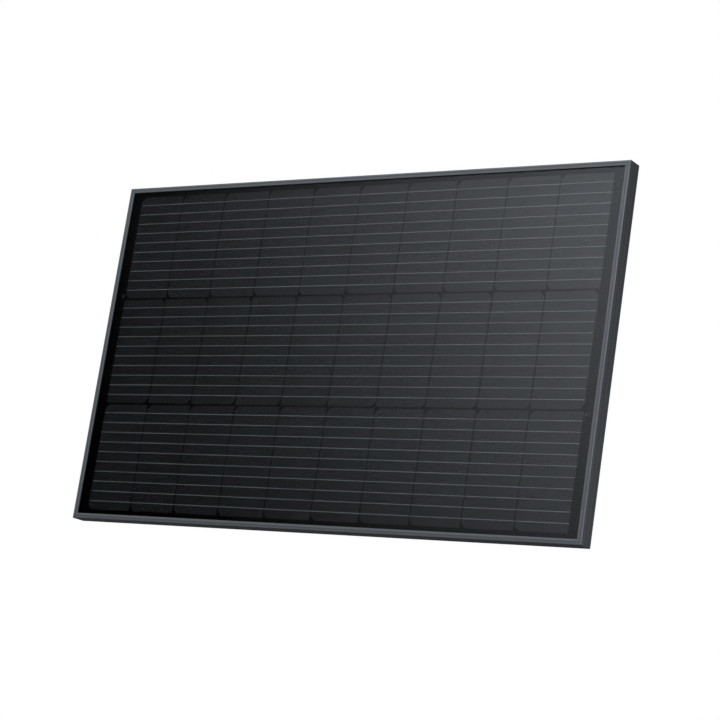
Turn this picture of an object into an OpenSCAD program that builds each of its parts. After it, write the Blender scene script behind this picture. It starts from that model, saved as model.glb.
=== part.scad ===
// Framed solar panel with three strings of half-cut cells and a junction box behind.
// It stands on its long edge: X along the panel, Z up, glass towards -Y, back plane at Y = 0.
// The origin is the centre of the four rear mounting slots.

/* [Panel] */
// Outside length of the frame
panel_l = 982; // [970:1:1000]
// Outside height of the frame
panel_h = 586; // [578:1:600]
// Depth of the frame, front lip to back plane
frame_d = 28; // [28:1:35]

/* [Frame section] */
// Width of the front lip over the glass
lip_w = 8.5; // [7:0.5:10]
// Thickness of the front lip
lip_t = 1.2; // [1:0.1:1.4]
// Thickness of the outer wall
wall_t = 1.5; // [1.2:0.1:1.8]
// Thickness of the shelf behind the laminate and of the chamber's inner wall
shelf_t = 1.5; // [1.2:0.1:1.6]
// Thickness of the rear flange
flange_t = 1.6; // [1.4:0.1:2]
// Width of the rear flange, measured from the outer wall
flange_w = 24; // [22:0.5:28]
// Radius of the frame's outer edges
edge_r = 0.8; // [0.4:0.1:1]
// Half width of the joint line at each mitre
mitre_gap = 0.05; // [0.02:0.01:0.2]

/* [Fixing holes] */
// Distance between the mounting slots along the panel
slot_spacing = 600; // [400:10:700]
// Width of a mounting slot
slot_w = 7; // [6.5:0.5:9]
// End-to-end length of a mounting slot
slot_l = 12; // [10:1:14]
// Distance between the earthing holes along the panel
earth_spacing = 880; // [800:10:890]
// Diameter of an earthing hole
earth_hole_d = 4.2; // [3.2:0.1:5.2]

/* [Laminate] */
// Thickness of the front glass
glass_t = 3.2; // [2.8:0.1:3.2]
// Thickness of the front encapsulant in front of the wires
front_film_t = 0.45; // [0.3:0.05:0.5]
// Thickness of the rear encapsulant behind the wires
rear_film_t = 0.5; // [0.45:0.05:0.6]
// Thickness of the backsheet
backsheet_t = 0.35; // [0.25:0.05:0.4]
// Thickness of the edge seal in front of and behind the laminate
seal_t = 0.3; // [0.2:0.05:0.4]
// Gap between the laminate's edge and the frame's outer wall
edge_gap = 1.5; // [1:0.1:2]

/* [Cells] */
// Width of a half cell along its string
cell_w = 91; // [90:0.5:91.5]
// Height of a half cell across its string
cell_h = 182; // [180:1:183]
// Thickness of a cell
cell_t = 0.2; // [0.15:0.01:0.22]
// Gap between cells along a string
cell_gap = 2; // [1.5:0.1:2]
// Gap between the strings
string_gap = 3; // [2:0.5:4]
// Diameter of the round wafer that the cells' clipped corners lie on
wafer_d = 246.5; // [246:0.5:252]
// Wires across each cell
wires_per_cell = 10; // [5:1:10]
// Distance between wires
wire_pitch = 17; // [12:0.5:17]
// Width of a wire
wire_w = 0.8; // [0.4:0.1:1.2]
// Thickness of a wire
wire_t = 0.2; // [0.15:0.01:0.25]

/* [Junction box] */
// Centre of the box along the panel
box_x = -395; // [-420:5:-300]
// Length of the box's base along the panel
box_l = 100; // [96:1:120]
// Height of the box's base across the panel
box_h = 84; // [80:1:90]
// Depth of the closed box behind the backsheet
box_d = 17.4; // [17.4:0.1:18.5]
// Diameter of the cable passage through each gland
cable_hole_d = 6.4; // [5.5:0.1:7]
// Distance between the two glands
gland_spacing = 42; // [38:1:46]

/* [Hidden] */
$fn = 48;
COLUMNS = 10;
ROWS = 3;
FRAME_BLACK = "#3b3e40";
BACK_BLACK = "#17181a";
CELL_BLACK = "#15171b";
PLASTIC_BLACK = "#1e1f21";
TINNED = "#b4b7b9";
COPPER = "#b87348";
ALUMINIUM = "#a3a6a9";
FILM = "#c9ced2";
RUBBER_GREY = "#3a3a3a";
EPOXY_BLACK = "#202020";

// Shortest cut that clears a face it passes through
over = 1;
// Room between a part and the pocket or bore that holds it
slack = 0.05;

// Heights in the panel's own frame: 0 is the back plane, frame_d the front of the lip
lip_z = frame_d - lip_t;
glass_z = lip_z - seal_t - glass_t;
front_film_z = glass_z - front_film_t;
cell_z = front_film_z - wire_t - cell_t;
rear_wire_z = cell_z - wire_t;
rear_film_z = rear_wire_z - rear_film_t;
backsheet_z = rear_film_z - backsheet_t;
shelf_z = backsheet_z - seal_t;
chamber_top_z = shelf_z - shelf_t;

// Laminate, which sits in the frame's channel
laminate_l = panel_l - 2 * (wall_t + edge_gap);
laminate_h = panel_h - 2 * (wall_t + edge_gap);

// Frame section, measured inwards from the outer wall
chamber_in = lip_w + 1;
chamber_w = chamber_in - shelf_t - wall_t;
hole_in = (chamber_in + flange_w) / 2;
drain_l = 10;
drain_w = 3;
drain_spacing = 440;
mitre_w = 40;

// Corner keys
key_leg = 40;
key_clear = 0.05;
barb_pitch = 4;
barb_run = 2.8;
barb_depth = 0.6;
barb_count = 6;

// Cell field
pitch_x = cell_w + cell_gap;
pitch_y = cell_h + string_gap;
field_l = COLUMNS * pitch_x - cell_gap;
field_h = ROWS * pitch_y - string_gap;
pocket_margin = 16;
pocket_margin_y = 3.5;
wire_inset = 1.5;

// Bus ribbons at the ends of the strings
bus_w = 5;
bus_out = 5;
bus_overrun = 2;
string_half = (wires_per_cell - 1) / 2 * wire_pitch + bus_overrun;

// Leads that run behind the cells to the junction box
lead_w = 5;
lead_t = 0.2;
strip_w = 8;
strip_t = 0.1;
lead_z = rear_wire_z - strip_t - lead_t;
lead_y = pitch_y / 2 + 6;
lead_exit_y = 12;
lead_slot_l = 8;
lead_slot_w = 2;
lead_play = 0.1;

// Junction box, measured outwards from the backsheet
pad_t = 0.8;
base_t = 2;
floor_h = pad_t + base_t;
box_wall = 3;
box_inset = 3;
flange_r = 4;
body_r = 3;
lid_t = 2;
lid_z = box_d - lid_t;
seal_gap = 0.4;
rim_z = lid_z - seal_gap;
seal_w = 1.3;
groove_w = 1.5;
groove_d = 1.2;
groove_r = 2;
skirt_t = 1.6;
skirt_gap = 0.5;
skirt_z = 14;
body_l = box_l - 2 * box_inset;
body_h = box_h - 2 * box_inset;
window_l = 16;
window_w = 34;
latch_w = 10;
latch_h = 8;
latch_out = 1.2;
tab_l = 20;
tab_out = 2.5;

// Hinge along the box's top edge
hinge_z = 12;
hinge_out = 4.2;
hinge_y = body_h / 2 + hinge_out;
pin_r = 1.5;
pin_clear = 0.05;
lug_r = 3.2;
ear_r = 3;
lug_w = 6;
ear_w = 3;
ear_gap = 0.3;
hinge_spacing = 60;

// Glands
gland_z = 8.6;
thread_r = 5;
thread_l = 8;
seal_r = 4.1;
seal_l = 6;
nut_r = 6.8;
nut_l = 12;
nut_start = 4;
nut_cone_l = 2.5;
nut_grips = 12;
grip_r = 0.8;
nut_clear = 0.1;

// Terminals and the bypass diode
post_l = 4;
post_h = 2;
post_x = [-3, 24];
bar_z = floor_h + post_h;
bar_t = 1;
bar_w = 8;
bar_start = -5;
bar_end = 41;
barrel_r = 2.6;
barrel_bore_r = 1.5;
barrel_l = 9;
diode_x = 14;
diode_r = 2.7;
diode_l = 9.5;
diode_lead_r = 0.65;

// Rating label, blank
label_l = 100;
label_h = 60;
label_t = 0.15;
label_r = 2;
label_y = 165;

function cell_name(r, c) = str("cell_r", r, "_c", c < 10 ? "0" : "", c);

// ---- Placing ----

// Stands the panel's own frame (x along, y across, z out of the front) upright
module stand() {
    rotate([90, 0, 0]) children();
}

// Puts a shape behind the backsheet, its z pointing out of the back
module behind(x = box_x, y = 0) {
    stand()
        translate([x, y, backsheet_z])
            mirror([0, 0, 1])
                children();
}

// Rectangle centred on the origin with true round corners
module round_rect(l, w, r) {
    square([l - 2 * r, w], center = true);
    square([l, w - 2 * r], center = true);
    for (sx = [-1, 1]) {
        for (sy = [-1, 1]) {
            translate([sx * (l / 2 - r), sy * (w / 2 - r)]) circle(r);
        }
    }
}

// Centred plate with round corners
module round_plate(l, w, t, r) {
    linear_extrude(t) round_rect(l, w, r);
}

// Slot that runs along x, centred on the origin
module slot_2d(length, width) {
    square([length - width, width], center = true);
    for (s = [-1, 1]) {
        translate([s * (length - width) / 2, 0]) circle(d = width);
    }
}

// ---- Frame ----

// What a corner loses when it is rounded; the corner is at the origin, the section on the +x +y side
module corner_waste(r) {
    difference() {
        translate([-over, -over]) square(r + over);
        translate([r, r]) circle(r);
    }
}

// Extrusion section: x inwards from the outer wall, y from the back plane to the front
module frame_section() {
    difference() {
        union() {
            square([wall_t, frame_d]);
            translate([0, lip_z]) square([lip_w, lip_t]);
            translate([0, chamber_top_z]) square([chamber_in, shelf_t]);
            translate([wall_t + chamber_w, 0]) square([shelf_t, shelf_z]);
            square([flange_w, flange_t]);
        }
        corner_waste(edge_r);
        translate([0, frame_d]) mirror([0, 1]) corner_waste(edge_r);
        translate([lip_w, frame_d]) mirror([1, 0]) mirror([0, 1]) corner_waste(edge_r / 2);
    }
}

// One mitred rail along x, outer wall at y = 0, with its holes at these places along the flange
module rail(length, slots = [], earths = [], drains = []) {
    intersection() {
        difference() {
            rotate([90, 0, 90]) linear_extrude(length, center = true) frame_section();
            translate([0, hole_in, -over]) linear_extrude(flange_t + 2 * over) {
                for (x = slots) translate([x, 0]) slot_2d(slot_l, slot_w);
                for (x = earths) translate([x, 0]) circle(d = earth_hole_d);
                for (x = drains) translate([x, 0]) slot_2d(drain_l, drain_w);
            }
        }
        translate([0, 0, -over]) linear_extrude(frame_d + 2 * over) polygon([
            [-length / 2 + mitre_gap, 0],
            [length / 2 - mitre_gap, 0],
            [length / 2 - mitre_gap - mitre_w, mitre_w],
            [-length / 2 + mitre_gap + mitre_w, mitre_w]
        ]);
    }
}

module long_rail() {
    rail(panel_l,
        slots = [-slot_spacing / 2, slot_spacing / 2],
        earths = [-earth_spacing / 2, earth_spacing / 2]);
}

module short_rail() {
    rail(panel_h, drains = [-drain_spacing / 2, drain_spacing / 2]);
}

module frame_top() color(FRAME_BLACK) {
    stand() translate([0, panel_h / 2, 0]) rotate(180) long_rail();
}

module frame_bottom() color(FRAME_BLACK) {
    stand() translate([0, -panel_h / 2, 0]) long_rail();
}

module frame_left() color(FRAME_BLACK) {
    stand() translate([-panel_l / 2, 0, 0]) rotate(-90) short_rail();
}

module frame_right() color(FRAME_BLACK) {
    stand() translate([panel_l / 2, 0, 0]) rotate(90) short_rail();
}

// ---- Corner keys ----

// One leg of a key along x, with barbs cut in its inner side
module key_leg_2d() {
    leg_w = chamber_w - 2 * key_clear;
    difference() {
        square([key_leg, leg_w]);
        for (i = [1 : barb_count]) {
            translate([key_leg - i * barb_pitch, leg_w]) {
                polygon([[0, over], [0, -barb_depth], [barb_run, 0], [barb_run, over]]);
            }
        }
    }
}

// L-shaped key in the chambers of two rails; the frame's outer corner is at the origin
module corner_key() {
    translate([wall_t + key_clear, wall_t + key_clear, flange_t + key_clear]) {
        linear_extrude(chamber_top_z - flange_t - 2 * key_clear) {
            key_leg_2d();
            mirror([1, -1]) key_leg_2d();
        }
    }
}

// The key at one corner: sx and sy are -1 or 1
module corner_key_at(sx, sy) color(ALUMINIUM) {
    stand()
        translate([sx * panel_l / 2, sy * panel_h / 2, 0])
            mirror([sx > 0 ? 1 : 0, 0, 0])
                mirror([0, sy > 0 ? 1 : 0, 0])
                    corner_key();
}

// ---- Laminate ----

// Flat sheet of the laminate's size from one height to another
module laminate_sheet(z, t) {
    translate([-laminate_l / 2, -laminate_h / 2, z]) cube([laminate_l, laminate_h, t]);
}

// Block centred on the panel, used for the pocket round the cells
module centred_block(l, h, z, t) {
    translate([-l / 2, -h / 2, z]) cube([l, h, t]);
}

module edge_seal() color(BACK_BLACK) {
    ring_l = panel_l - 2 * wall_t;
    ring_h = panel_h - 2 * wall_t;
    hole_l = panel_l - 2 * lip_w;
    hole_h = panel_h - 2 * lip_w;
    stand() difference() {
        centred_block(ring_l, ring_h, shelf_z, lip_z - shelf_z);
        centred_block(hole_l, hole_h, shelf_z - over, lip_z - shelf_z + 2 * over);
        laminate_sheet(backsheet_z, lip_z - seal_t - backsheet_z);
    }
}

module front_glass() color(FILM, 0.3) {
    stand() laminate_sheet(glass_z, glass_t);
}

module front_encapsulant() color(FILM, 0.3) {
    stand() laminate_sheet(front_film_z, front_film_t);
}

// Slots through the rear films for the two leads, cut from z upwards
module lead_slots(z, t) {
    for (s = [-1, 1]) {
        translate([box_x - lead_slot_l / 2, s * lead_exit_y - lead_slot_w / 2, z]) {
            cube([lead_slot_l, lead_slot_w, t]);
        }
    }
}

// Flat strip from a bus ribbon along a string gap and then to the box; side is -1 or 1
module lead_path(side, w, z, t, play = 0) {
    start_x = -side * (field_l / 2 + bus_out + bus_w + play);
    end_x = box_x - side * (w / 2 + play);
    low_x = min(start_x, end_x);
    high_x = max(start_x, end_x);
    turn_y = side * lead_exit_y;
    run_w = w + 2 * play;
    translate([low_x, side * lead_y - run_w / 2, z]) cube([high_x - low_x, run_w, t]);
    translate([box_x - run_w / 2, min(turn_y, side * lead_y), z]) {
        cube([run_w, lead_y - lead_exit_y, t]);
    }
}

module rear_encapsulant() color(FILM, 0.3) {
    stand() difference() {
        laminate_sheet(rear_film_z, front_film_z - rear_film_z);
        centred_block(field_l + 2 * pocket_margin, field_h + 2 * pocket_margin_y,
            rear_wire_z, front_film_z - rear_wire_z + over);
        for (side = [-1, 1]) {
            lead_path(side, strip_w, rear_wire_z - strip_t, strip_t + over, lead_play);
            lead_path(side, lead_w, lead_z, lead_t + over, lead_play);
        }
        lead_slots(rear_film_z - over, rear_film_t + 2 * over);
    }
}

module backsheet() color(BACK_BLACK) {
    stand() difference() {
        laminate_sheet(backsheet_z, backsheet_t);
        lead_slots(backsheet_z - over, backsheet_t + 2 * over);
    }
}

// ---- Cells and their wiring ----

// Even strings run right to left, so their cells and wires are mirrored
function runs_left(r) = r % 2 == 0;

function string_y(r) = (ROWS + 1 - 2 * r) * pitch_y / 2;

function column_x(c) = (2 * c - COLUMNS - 1) * pitch_x / 2;

// Half wafer centred on the origin: the round wafer's centre is on its cut edge, at +x
module half_wafer() {
    linear_extrude(cell_t) intersection() {
        square([cell_w, cell_h], center = true);
        translate([cell_w / 2, 0]) circle(d = wafer_d, $fn = 180);
    }
}

module cell(r, c) color(CELL_BLACK) {
    stand()
        translate([column_x(c), string_y(r), cell_z])
            mirror([runs_left(r) ? 1 : 0, 0, 0])
                half_wafer();
}

// Side view of one wire: on the front of one cell, down through the gap, behind the next
module wire_step() {
    front = cell_w - wire_inset;
    polygon([
        [-front, cell_t], [-front, cell_t + wire_t],
        [wire_t / 2 + cell_gap / 2, cell_t + wire_t], [wire_t / 2 + cell_gap / 2, 0],
        [cell_gap + front, 0], [cell_gap + front, -wire_t],
        [cell_gap / 2 - wire_t / 2, -wire_t], [cell_gap / 2 - wire_t / 2, cell_t]
    ]);
}

// All wires of one string, for a string that runs left to right
module string_wires() {
    front = cell_w - wire_inset;
    tail = bus_out + bus_w;
    for (k = [0 : wires_per_cell - 1]) {
        translate([0, (k - (wires_per_cell - 1) / 2) * wire_pitch + wire_w / 2, cell_z]) {
            for (c = [1 : COLUMNS - 1]) {
                translate([column_x(c) + cell_w / 2, 0, 0]) {
                    rotate([90, 0, 0]) linear_extrude(wire_w) wire_step();
                }
            }
            translate([-field_l / 2 - tail, -wire_w, -wire_t]) cube([tail + front, wire_w, wire_t]);
            translate([field_l / 2 - front, -wire_w, cell_t]) cube([front + tail, wire_w, wire_t]);
        }
    }
}

module cell_wires(r) color(TINNED) {
    stand()
        translate([0, string_y(r), 0])
            mirror([runs_left(r) ? 1 : 0, 0, 0])
                string_wires();
}

// Bus ribbon beside the strings from one height to another; side is -1 or 1
module bus(side, low_y, high_y) {
    x = side * (field_l / 2 + bus_out + bus_w / 2);
    translate([x - bus_w / 2, low_y, cell_z]) cube([bus_w, high_y - low_y, cell_t]);
}

// The solder pad that joins a bus ribbon to its lead
module bus_pad(side) {
    x = -side * (field_l / 2 + bus_out + bus_w / 2);
    translate([x - bus_w / 2, side * lead_y - lead_w / 2, lead_z]) cube([bus_w, lead_w, cell_z - lead_z]);
}

module bus_ribbons_left() color(TINNED) {
    stand() {
        bus(-1, lead_y - lead_w / 2, string_y(1) + string_half);
        bus(-1, string_y(3) - string_half, string_y(2) + string_half);
    }
}

module bus_ribbons_right() color(TINNED) {
    stand() {
        bus(1, string_y(2) - string_half, string_y(1) + string_half);
        bus(1, string_y(3) - string_half, -lead_y + lead_w / 2);
    }
}

// A lead from its bus ribbon, behind the cells, out of the backsheet and onto its terminal
module lead(side) {
    drop = lead_z + lead_t - (backsheet_z - bar_z - bar_t);
    tab_end = gland_spacing / 2 + bar_w / 2 - over;
    stand() {
        bus_pad(side);
        lead_path(side, lead_w, lead_z, lead_t);
        translate([box_x - lead_w / 2, side * lead_exit_y - lead_t / 2, lead_z + lead_t - drop]) {
            cube([lead_w, lead_t, drop]);
        }
        translate([box_x - lead_w / 2, side > 0 ? lead_exit_y - lead_t / 2 : -tab_end,
                backsheet_z - bar_z - bar_t - lead_t]) {
            cube([lead_w, tab_end - lead_exit_y + lead_t / 2, lead_t]);
        }
    }
}

module lead_positive() color(TINNED) lead(1);

module lead_negative() color(TINNED) lead(-1);

// Strips between the leads and the backs of the cells, cut short of the solder pads
module lead_insulation() color(BACK_BLACK) {
    pad_x = field_l / 2 + bus_out - over;
    stand() intersection() {
        for (side = [-1, 1]) {
            lead_path(side, strip_w, rear_wire_z - strip_t, strip_t);
        }
        centred_block(2 * pad_x, panel_h, 0, frame_d);
    }
}

// ---- Rear label ----

module rating_label() color(FILM) {
    behind(y = label_y) round_plate(label_l, label_h, label_t, label_r);
}

// ---- Junction box ----

module junction_box_pad() color(BACK_BLACK) {
    behind() linear_extrude(pad_t) difference() {
        round_rect(box_l, box_h, flange_r);
        square([window_l, window_w], center = true);
    }
}

// Upright ring: outside size, wall and corner radius
module wall_ring(l, w, wall, h, r) {
    linear_extrude(h) difference() {
        round_rect(l, w, r);
        round_rect(l - 2 * wall, w - 2 * wall, max(r - wall, 0.5));
    }
}

// Cylinder along +x from the origin
module rod_x(r, l) {
    rotate([0, 90, 0]) cylinder(r = r, h = l);
}

// Places its children at both glands, on the outside of the box's right wall
module at_glands() {
    for (s = [-1, 1]) {
        translate([body_l / 2, s * gland_spacing / 2, gland_z]) children();
    }
}

// Places its children at both hinge lugs, on the hinge line
module at_hinges() {
    for (s = [-1, 1]) {
        translate([s * hinge_spacing / 2, hinge_y, hinge_z]) children();
    }
}

module junction_box_base() color(PLASTIC_BLACK) {
    behind() difference() {
        union() {
            translate([0, 0, pad_t]) round_plate(box_l, box_h, base_t, flange_r);
            translate([0, 0, floor_h]) wall_ring(body_l, body_h, box_wall, rim_z - floor_h, body_r);
            for (s = [-1, 1]) {
                for (x = post_x) {
                    translate([x, s * gland_spacing / 2 - bar_w / 2, floor_h - over]) {
                        cube([post_l, bar_w, post_h + over]);
                    }
                }
            }
            at_glands() translate([-over, 0, 0]) rod_x(thread_r, thread_l + over);
            at_hinges() {
                translate([-lug_w / 2, 0, 0]) rod_x(lug_r, lug_w);
                translate([-lug_w / 2, -hinge_out - over, -lug_r]) cube([lug_w, hinge_out + over, 2 * lug_r]);
            }
            for (s = [-1, 1]) {
                translate([s * hinge_spacing / 2 - latch_w / 2, -body_h / 2 - latch_out, floor_h]) {
                    cube([latch_w, latch_out + over, latch_h]);
                }
            }
        }
        translate([0, 0, -over]) linear_extrude(floor_h + 2 * over) square([window_l, window_w], center = true);
        translate([0, 0, rim_z - groove_d]) {
            wall_ring(body_l - box_wall + groove_w, body_h - box_wall + groove_w, groove_w, groove_d + over, groove_r);
        }
        at_glands() {
            translate([-box_wall - over, 0, 0]) rod_x(cable_hole_d / 2, thread_l + box_wall + 2 * over);
            translate([thread_l - seal_l, 0, 0]) rod_x(seal_r + slack, seal_l + over);
        }
        at_hinges() translate([-lug_w, 0, 0]) rod_x(pin_r + pin_clear, 2 * lug_w);
    }
}

module junction_box_seal() color(RUBBER_GREY) {
    inset = (groove_w - seal_w) / 2;
    behind() translate([0, 0, rim_z - groove_d]) {
        wall_ring(body_l - box_wall + groove_w - 2 * inset, body_h - box_wall + groove_w - 2 * inset,
            seal_w, groove_d + seal_gap, groove_r);
    }
}

// Lid with a short skirt on three sides, two hinge forks with their pins and a thumb tab
module junction_box_lid() color(PLASTIC_BLACK) {
    cover_l = body_l + 2 * (skirt_gap + skirt_t);
    cover_low = body_h / 2 + skirt_gap + skirt_t;
    fork = lug_w / 2 + ear_gap;
    behind() {
        difference() {
            translate([-cover_l / 2, -cover_low, skirt_z]) {
                cube([cover_l, cover_low + body_h / 2, box_d - skirt_z]);
            }
            translate([-body_l / 2 - skirt_gap, -body_h / 2 - skirt_gap, skirt_z - over]) {
                cube([body_l + 2 * skirt_gap, body_h + 2 * over + skirt_gap, lid_z - skirt_z + over]);
            }
        }
        translate([-tab_l / 2, -cover_low - tab_out, lid_z]) cube([tab_l, tab_out + skirt_t / 2, lid_t]);
        at_hinges() {
            for (s = [-1, 1]) {
                translate([s * (fork + ear_w / 2) - ear_w / 2, 0, 0]) {
                    rod_x(ear_r, ear_w);
                    translate([0, -ear_r, 0]) cube([ear_w, 2 * ear_r, box_d - hinge_z]);
                    translate([0, -hinge_out - over, lid_z - hinge_z]) cube([ear_w, hinge_out + over, lid_t]);
                }
            }
            translate([-fork - over, 0, 0]) rod_x(pin_r, 2 * (fork + over));
        }
    }
}

// Two stepped terminal bars, each with a barrel for the cable's conductor
module terminals() color(COPPER) {
    behind() for (s = [-1, 1]) {
        translate([0, s * gland_spacing / 2, 0]) difference() {
            union() {
                translate([bar_start, -bar_w / 2, bar_z]) cube([bar_end - bar_start, bar_w, bar_t]);
                translate([bar_end - barrel_l, -barrel_r, bar_z]) cube([barrel_l, 2 * barrel_r, gland_z - bar_z]);
                translate([bar_end - barrel_l, 0, gland_z]) rod_x(barrel_r, barrel_l);
            }
            translate([bar_end - barrel_l - over, 0, gland_z]) rod_x(barrel_bore_r, barrel_l + 2 * over);
        }
    }
}

// Axial diode across the two terminal bars
module bypass_diode() color(EPOXY_BLACK) {
    lead_l = gland_spacing + bar_w / 2;
    behind() translate([diode_x, 0, bar_z + bar_t + diode_lead_r + slack]) rotate([90, 0, 0]) {
        cylinder(r = diode_r, h = diode_l, center = true);
        cylinder(r = diode_lead_r, h = lead_l, center = true);
    }
}

module gland_seals() color(RUBBER_GREY) {
    behind() at_glands() translate([thread_l - seal_l, 0, 0]) difference() {
        rod_x(seal_r, seal_l);
        translate([-over, 0, 0]) rod_x(cable_hole_d / 2, seal_l + 2 * over);
    }
}

// Cap nuts over the glands, fluted for grip
module gland_nuts() color(PLASTIC_BLACK) {
    behind() at_glands() translate([nut_start, 0, 0]) difference() {
        rotate([0, 90, 0]) {
            linear_extrude(nut_l - nut_cone_l) difference() {
                circle(nut_r);
                for (i = [0 : nut_grips - 1]) {
                    rotate(i * 360 / nut_grips) translate([nut_r + grip_r / 2, 0]) circle(grip_r);
                }
            }
            translate([0, 0, nut_l - nut_cone_l]) {
                cylinder(r1 = nut_r - grip_r, r2 = nut_r - nut_cone_l, h = nut_cone_l);
            }
        }
        translate([-over, 0, 0]) rod_x(cable_hole_d / 2, nut_l + 2 * over);
        translate([-over, 0, 0]) rod_x(thread_r + nut_clear, thread_l - nut_start + nut_clear + over);
    }
}

// ---- Drawing ----

frame_top();
frame_bottom();
frame_left();
frame_right();
corner_key_at(-1, 1);  // corner_key_top_left
corner_key_at(1, 1);  // corner_key_top_right
corner_key_at(-1, -1);  // corner_key_bottom_left
corner_key_at(1, -1);  // corner_key_bottom_right
edge_seal();
front_glass();
front_encapsulant();
rear_encapsulant();
backsheet();
for (r = [1 : ROWS]) {
    for (c = [1 : COLUMNS]) {
        cell(r, c);
    }
}
cell_wires(1);  // cell_wires_row1
cell_wires(2);  // cell_wires_row2
cell_wires(3);  // cell_wires_row3
bus_ribbons_left();
bus_ribbons_right();
lead_positive();
lead_negative();
lead_insulation();
rating_label();
junction_box_pad();
junction_box_base();
junction_box_lid();
junction_box_seal();
terminals();
bypass_diode();
gland_seals();
gland_nuts();
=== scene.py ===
"""Looks of a framed solar panel, built round its fixed CAD frame.

Everything is in metres in the part's own frame: X along the panel, Z up, the glass towards -Y and the
back plane of the frame at Y = 0. Each sub-assembly is a class that holds its sizes, builds its meshes
and dresses them, and each finish is a small frozen class that makes one material.
"""
import logging
import math
from dataclasses import dataclass
from enum import Enum, IntEnum
from typing import Any, Iterable, Mapping, Sequence, Union

import bmesh
import bpy
from mathutils import Matrix, Vector
from mathutils.geometry import tessellate_polygon


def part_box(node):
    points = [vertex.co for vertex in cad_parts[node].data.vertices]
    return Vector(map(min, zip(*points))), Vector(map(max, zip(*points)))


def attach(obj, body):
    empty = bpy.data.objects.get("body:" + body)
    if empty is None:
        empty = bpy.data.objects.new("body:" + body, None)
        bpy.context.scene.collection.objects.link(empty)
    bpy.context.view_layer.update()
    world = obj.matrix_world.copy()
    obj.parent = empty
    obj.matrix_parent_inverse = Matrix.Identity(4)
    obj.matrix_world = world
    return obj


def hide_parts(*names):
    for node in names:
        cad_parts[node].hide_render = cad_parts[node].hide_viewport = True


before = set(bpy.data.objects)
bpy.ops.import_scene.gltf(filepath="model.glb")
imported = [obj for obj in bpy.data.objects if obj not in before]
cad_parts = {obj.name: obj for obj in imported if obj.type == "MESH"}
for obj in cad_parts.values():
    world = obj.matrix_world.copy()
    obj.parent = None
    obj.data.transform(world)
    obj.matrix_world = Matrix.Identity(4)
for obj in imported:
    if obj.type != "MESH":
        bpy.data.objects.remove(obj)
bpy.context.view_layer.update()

LOG = logging.getLogger("solar_panel")
MM = 0.001

Colour = tuple[float, float, float, float]
Value = Union[float, int, bool, Sequence[float], bpy.types.NodeSocket, bpy.types.Node, bpy.types.Material]
InputValue = Union[int, float, Vector, bpy.types.Material]


class Body(str, Enum):
    """The CAD bodies that pieces ride on."""

    PANEL = "panel"
    LID = "box_lid"


class Side(Enum):
    """The four rails of the frame."""

    TOP = ("top", (-1, 0, 0), (0, 0, 1))
    BOTTOM = ("bottom", (1, 0, 0), (0, 0, -1))
    LEFT = ("left", (0, 0, -1), (-1, 0, 0))
    RIGHT = ("right", (0, 0, 1), (1, 0, 0))

    def __init__(self, label: str, along: Sequence[float], outwards: Sequence[float]) -> None:
        """Keeps what a side knows of itself.

        Args:
            label: Its name, as the CAD nodes use it.
            along: The way the rail's length runs.
            outwards: The way its outer wall faces.
        """
        self.label = label
        self.along, self.outwards = Vector(along), Vector(outwards)


class Mix(IntEnum):
    """Sockets of the Mix node when it blends colours."""

    FACTOR = 0
    A = 6
    B = 7
    RESULT = 2


def linear(hex_code: str) -> Colour:
    """Turns an sRGB colour into the linear one that shaders take.

    Args:
        hex_code: Colour such as "#3b3e40".

    Returns:
        Red, green, blue and an alpha of 1.
    """
    parts = [int(hex_code[i:i + 2], 16) / 255 for i in (1, 3, 5)]
    curve = [p / 12.92 if p <= 0.04045 else ((p + 0.055) / 1.055) ** 2.4 for p in parts]
    return (curve[0], curve[1], curve[2], 1.0)


def add_node(tree: bpy.types.NodeTree, kind: str, inputs: Mapping[Union[str, int], Value] = {},
             **settings: Any) -> bpy.types.Node:
    """Adds a node to a tree, sets it and links it.

    Args:
        tree: Shader or geometry tree that gets the node.
        kind: Blender's name for the node's class.
        inputs: Values, sockets or nodes for its inputs, by name or place. A node gives its first output.
        **settings: The node's own attributes.

    Returns:
        The new node.
    """
    node = tree.nodes.new(kind)
    for name, value in settings.items():
        setattr(node, name, value)
    for key, value in inputs.items():
        socket = node.inputs[key]
        if isinstance(value, bpy.types.Node):
            value = value.outputs[0]
        if isinstance(value, bpy.types.NodeSocket):
            tree.links.new(value, socket)
        else:
            socket.default_value = value
    return node


# ---- Finishes ----


@dataclass(frozen=True)
class Finish:
    """What all finishes share: a name, and a material that is made once."""

    name: str

    def material(self) -> bpy.types.Material:
        """Makes the finish's material, or finds it if it was made before."""
        made = bpy.data.materials.get(self.name)
        if made is None:
            made = bpy.data.materials.new(self.name)
            made.use_nodes = True
            tree = made.node_tree
            tree.nodes.clear()
            add_node(tree, "ShaderNodeOutputMaterial", {"Surface": self.shade(tree)})
        return made

    def shade(self, tree: bpy.types.NodeTree) -> bpy.types.NodeSocket:
        """Builds the finish's shader; each kind of finish has its own.

        Args:
            tree: The material's empty node tree.

        Returns:
            The socket that gives the finished shader.
        """
        raise NotImplementedError

    def place(self, tree: bpy.types.NodeTree, stretch: Sequence[float] = (1, 1, 1)) -> bpy.types.NodeSocket:
        """Adds the object's own coordinates, in metres.

        Args:
            tree: The material's node tree.
            stretch: How many times finer the pattern is along X, Y and Z.

        Returns:
            The socket that gives the coordinates.
        """
        here = add_node(tree, "ShaderNodeTexCoord").outputs["Object"]
        return add_node(tree, "ShaderNodeMapping", {"Vector": here, "Scale": stretch}).outputs[0]


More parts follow.
